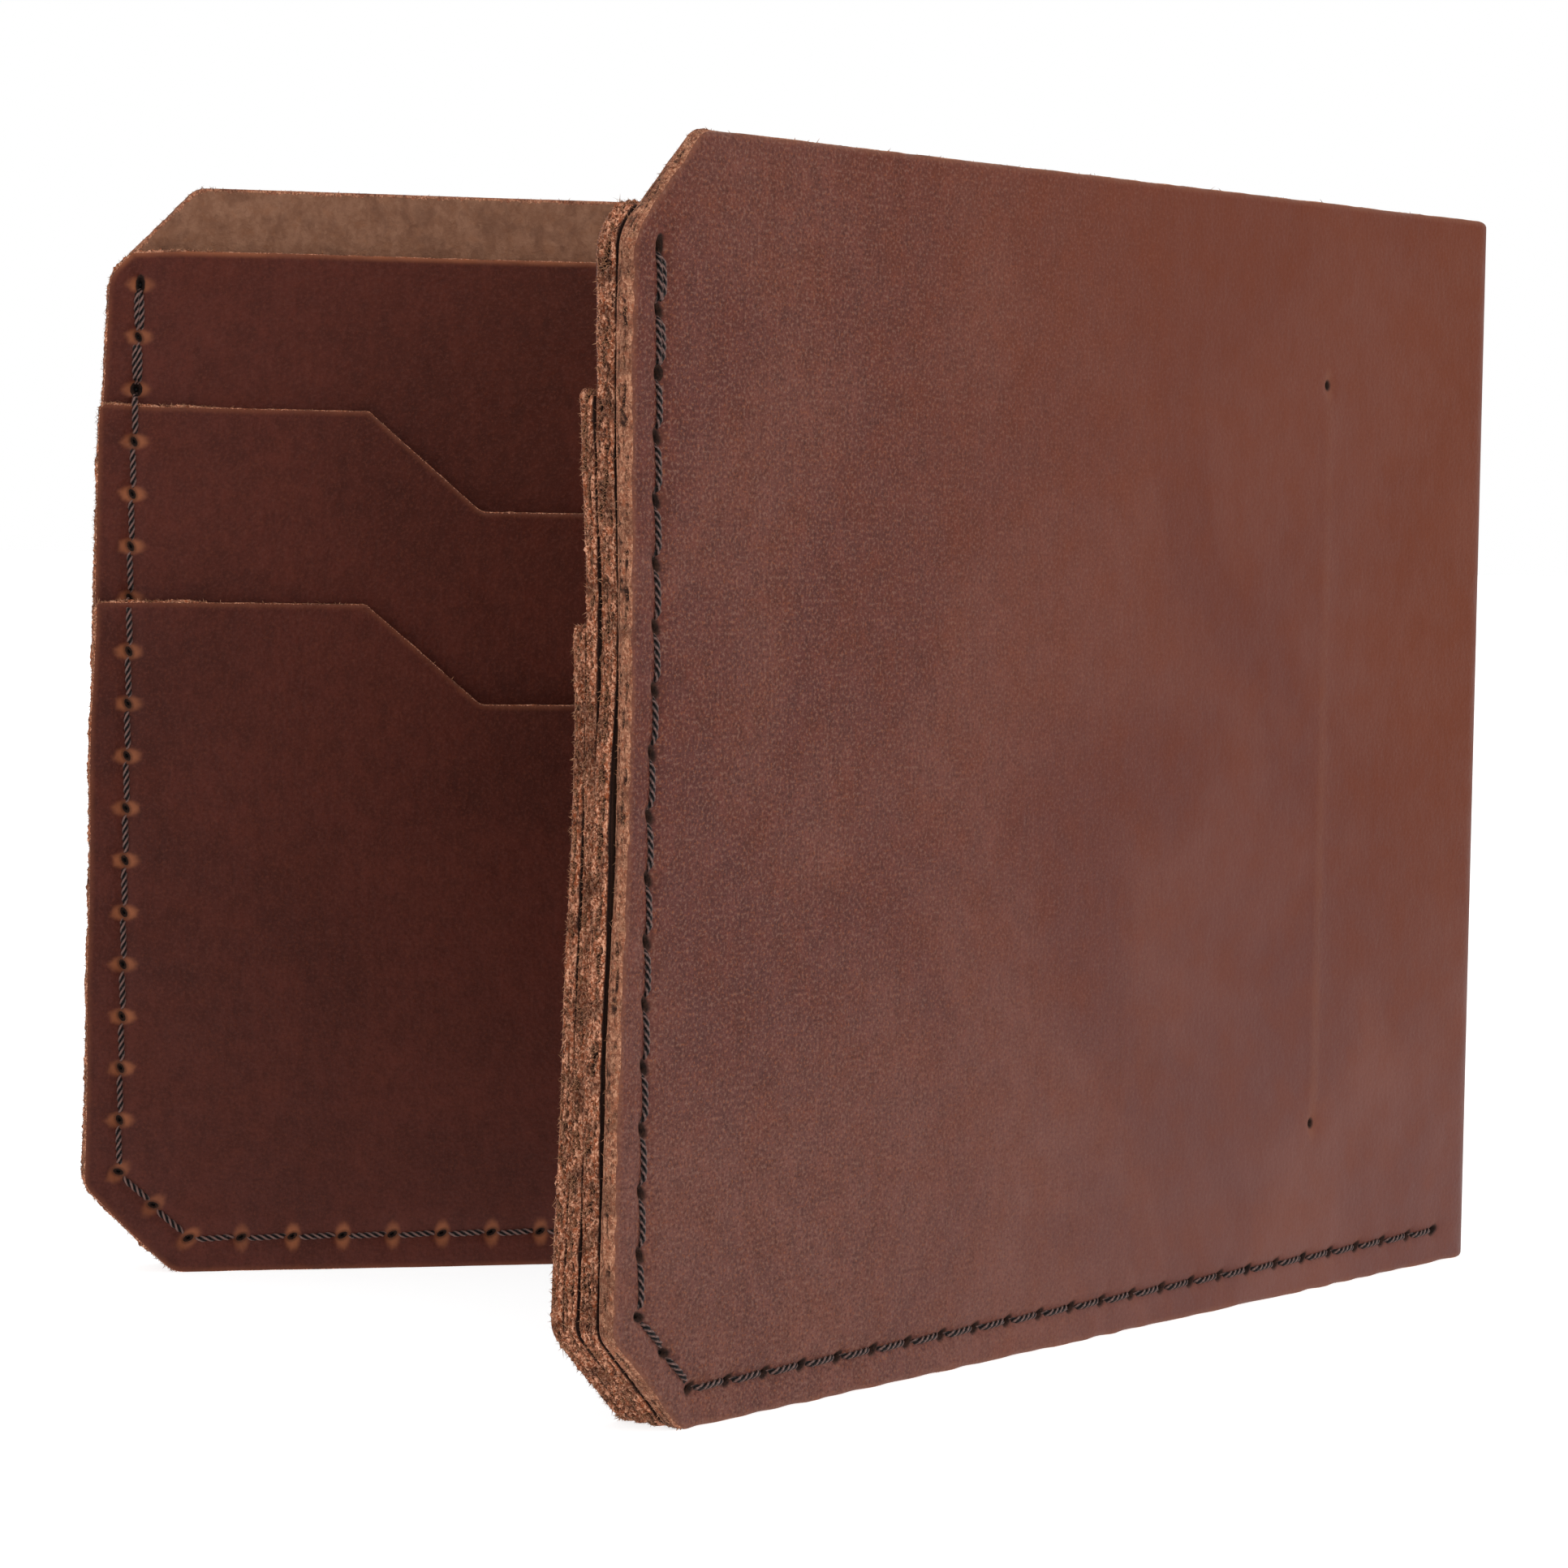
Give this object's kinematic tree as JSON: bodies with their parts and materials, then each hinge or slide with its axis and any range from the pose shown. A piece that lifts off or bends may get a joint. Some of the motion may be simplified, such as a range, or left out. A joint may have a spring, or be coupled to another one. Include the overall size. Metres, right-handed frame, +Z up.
{
  "type": "bifold wallet",
  "caption": "Slim leather bifold wallet standing half open, with stitched halves, a bill compartment and stepped card pockets inside each half.",
  "frame": {"origin": "centre of the bottom of the half open wallet's box, on the surface it stands on", "axes": "+Z up, along the folds; the back half's outside faces +Y and its free edge points to -X; the front half swings towards -Y"},
  "size_m": [0.1192, 0.083, 0.09],
  "materials": {
    "cover_leather": "matte waxed grain leather",
    "lining_leather": "matte waxed grain leather, darker",
    "pocket_leather": "matte waxed grain leather, darker",
    "thread": "twisted waxed linen thread"
  },
  "bodies": {
    "back": {"cover_panel_back": "cover_leather", "liner_back": "lining_leather", "upper_pocket_back": "pocket_leather", "lower_pocket_back": "pocket_leather", "perimeter_thread_back": "thread", "side_seam_thread_back": "thread", "card_stop_thread_back": "thread"},
    "spine": {"cover_spine": "cover_leather"},
    "front": {"cover_panel_front": "cover_leather", "liner_front": "lining_leather", "upper_pocket_front": "pocket_leather", "lower_pocket_front": "pocket_leather", "perimeter_thread_front": "thread", "side_seam_thread_front": "thread", "card_stop_thread_front": "thread"}
  },
  "joints": [
    {"name": "back_fold", "type": "hinge", "parent": "back", "child": "spine", "pos_m": [0.05587, 0.04049, 0.045], "axis": [0, 0, 1], "range_deg": [-19, 71]},
    {"name": "front_fold", "type": "hinge", "parent": "spine", "child": "front", "pos_m": [0.05943, 0.03014, 0.045], "axis": [0, 0, 1], "range_deg": [-19, 71]}
  ],
  "couplings": [
    {"joint": "front_fold", "follows": "back_fold", "ratio": 1}
  ]
}
